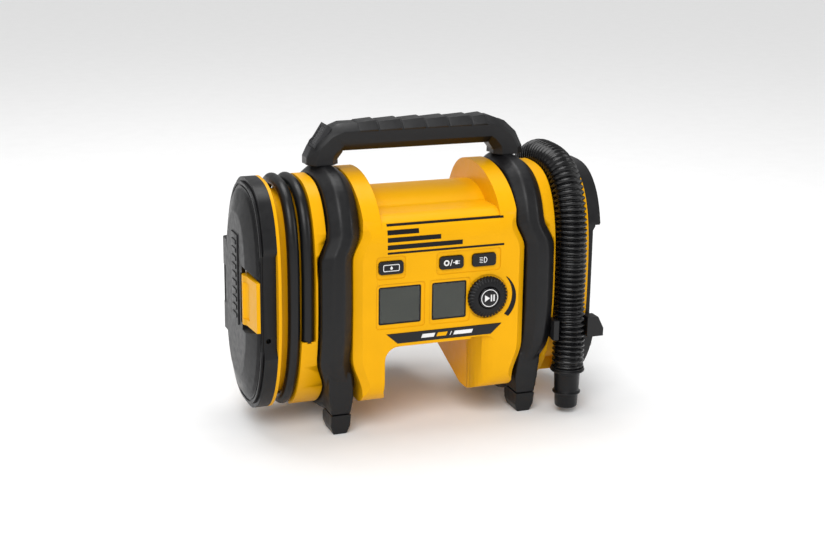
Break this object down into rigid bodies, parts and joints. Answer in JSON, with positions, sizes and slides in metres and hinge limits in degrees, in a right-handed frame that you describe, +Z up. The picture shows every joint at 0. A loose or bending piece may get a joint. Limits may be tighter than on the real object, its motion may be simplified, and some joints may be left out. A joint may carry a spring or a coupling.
{
  "type": "cordless inflator",
  "caption": "Cordless inflator with a carrying handle, a control panel, a storage door, a drum for each hose and a battery pack on a rear dock.",
  "frame": {"origin": "centre of the base of the box around the object without its hoses, on the floor", "axes": "+Z up, -Y towards the control panel, -X towards the end with the storage door"},
  "size_m": [0.3664, 0.2268, 0.291],
  "materials": {
    "case_yellow": "satin moulded plastic",
    "frame_black": "matt soft-touch rubber",
    "part_black": "fine textured plastic",
    "glossy_black": "glossy plastic",
    "dark_grey": "matt moulded plastic",
    "hose_rubber": "matt extruded rubber",
    "lens_clear": "clear moulded lens",
    "window_glass": "tinted display window",
    "display_grey": "unlit liquid crystal display",
    "board_green": "solder-masked board",
    "bright_steel": "bright steel",
    "bronze": "sintered bronze",
    "alloy": "cast and machined alloy",
    "nylon_white": "natural nylon",
    "print_black": "printed ink",
    "light_board_white": "white solder mask"
  },
  "bodies": {
    "pump": {"front_case": "case_yellow", "rear_case": "case_yellow", "chassis": "dark_grey", "left_frame": "frame_black", "right_frame": "frame_black", "front_left_foot": "frame_black", "front_right_foot": "frame_black", "rear_left_foot": "frame_black", "rear_right_foot": "frame_black", "handle_core": "dark_grey", "handle_grip": "frame_black", "light_bezel": "dark_grey", "light_lens": "lens_clear", "light_board": "light_board_white", "left_window": "window_glass", "right_window": "window_glass", "left_display": "display_grey", "right_display": "display_grey", "control_board": "board_green", "panel_marks": "print_black", "trim_plate": "glossy_black", "left_drum": "case_yellow", "left_rim": "part_black", "door_pin": "bright_steel", "needle_adaptor": "bright_steel", "cone_adaptor": "part_black", "air_hose": "hose_rubber", "air_chuck": "part_black", "right_drum": "case_yellow", "right_rim": "part_black", "right_cover": "part_black", "hose_clip": "part_black", "hose_socket": "part_black", "volume_hose": "hose_rubber", "hose_cuff": "part_black", "nozzle": "part_black", "battery_dock": "part_black", "battery_terminals": "bright_steel", "compressor_motor": "bright_steel", "crank_bearing": "bronze", "cylinder": "alloy", "fan_motor": "bright_steel", "fan_housing": "part_black", "fan_cover": "part_black", "case_screws": "bright_steel"},
    "dial": {"dial": "part_black"},
    "start_button": {"start_button": "glossy_black"},
    "tank_button": {"tank_button": "glossy_black"},
    "mode_button": {"mode_button": "glossy_black"},
    "light_button": {"light_button": "glossy_black"},
    "door": {"storage_door": "part_black", "latch_pin": "bright_steel"},
    "latch": {"door_latch": "case_yellow"},
    "pack": {"battery_pack": "part_black"},
    "release": {"battery_release": "case_yellow"},
    "pinion": {"drive_pinion": "bright_steel"},
    "crank": {"crank_gear": "nylon_white"},
    "rod": {"connecting_rod": "alloy"},
    "piston": {"piston": "alloy"},
    "impeller": {"impeller": "dark_grey"}
  },
  "joints": [
    {"name": "dial_turn", "type": "hinge", "parent": "pump", "child": "dial", "pos_m": [0.0463, -0.10375, 0.1294], "axis": [0, -1, 0], "continuous": true},
    {"name": "start_press", "type": "slide", "parent": "dial", "child": "start_button", "axis": [0, 1, 0], "range_m": [0, 0.0015], "stiffness_N_per_m": 400},
    {"name": "tank_press", "type": "slide", "parent": "pump", "child": "tank_button", "axis": [0, 1, 0], "range_m": [0, 0.001], "stiffness_N_per_m": 500},
    {"name": "mode_press", "type": "slide", "parent": "pump", "child": "mode_button", "axis": [0, 1, 0], "range_m": [0, 0.001], "stiffness_N_per_m": 500},
    {"name": "light_press", "type": "slide", "parent": "pump", "child": "light_button", "axis": [0, 1, 0], "range_m": [0, 0.001], "stiffness_N_per_m": 500},
    {"name": "door_swing", "type": "hinge", "parent": "pump", "child": "door", "pos_m": [-0.1715, 0.04725, 0.123], "axis": [0, 0, -1], "range_deg": [0, 110]},
    {"name": "latch_turn", "type": "hinge", "parent": "door", "child": "latch", "pos_m": [-0.1764, -0.04895, 0.134], "axis": [0, 0, -1], "range_deg": [0, 20], "stiffness_Nm_per_rad": 0.02},
    {"name": "pack_slide", "type": "slide", "parent": "pump", "child": "pack", "axis": [0, 0, 1], "range_m": [0, 0.11]},
    {"name": "release_press", "type": "slide", "parent": "pack", "child": "release", "axis": [0, -1, 0], "range_m": [0, 0.003], "stiffness_N_per_m": 400},
    {"name": "crank_spin", "type": "hinge", "parent": "pump", "child": "crank", "pos_m": [0, -0.02375, 0.155], "axis": [1, 0, 0], "continuous": true},
    {"name": "pinion_spin", "type": "hinge", "parent": "pump", "child": "pinion", "pos_m": [0, -0.02375, 0.127], "axis": [1, 0, 0], "continuous": true},
    {"name": "rod_swing", "type": "hinge", "parent": "crank", "child": "rod", "pos_m": [0, -0.02375, 0.159], "axis": [1, 0, 0], "continuous": true},
    {"name": "piston_stroke", "type": "slide", "parent": "pump", "child": "piston", "axis": [0, 0, 1], "range_m": [-0.008, 0]},
    {"name": "impeller_spin", "type": "hinge", "parent": "pump", "child": "impeller", "pos_m": [0.04, -0.01575, 0.142], "axis": [1, 0, 0], "continuous": true}
  ],
  "couplings": [
    {"joint": "pinion_spin", "follows": "crank_spin", "ratio": -3.6667},
    {"joint": "rod_swing", "follows": "crank_spin", "ratio": -1}
  ]
}
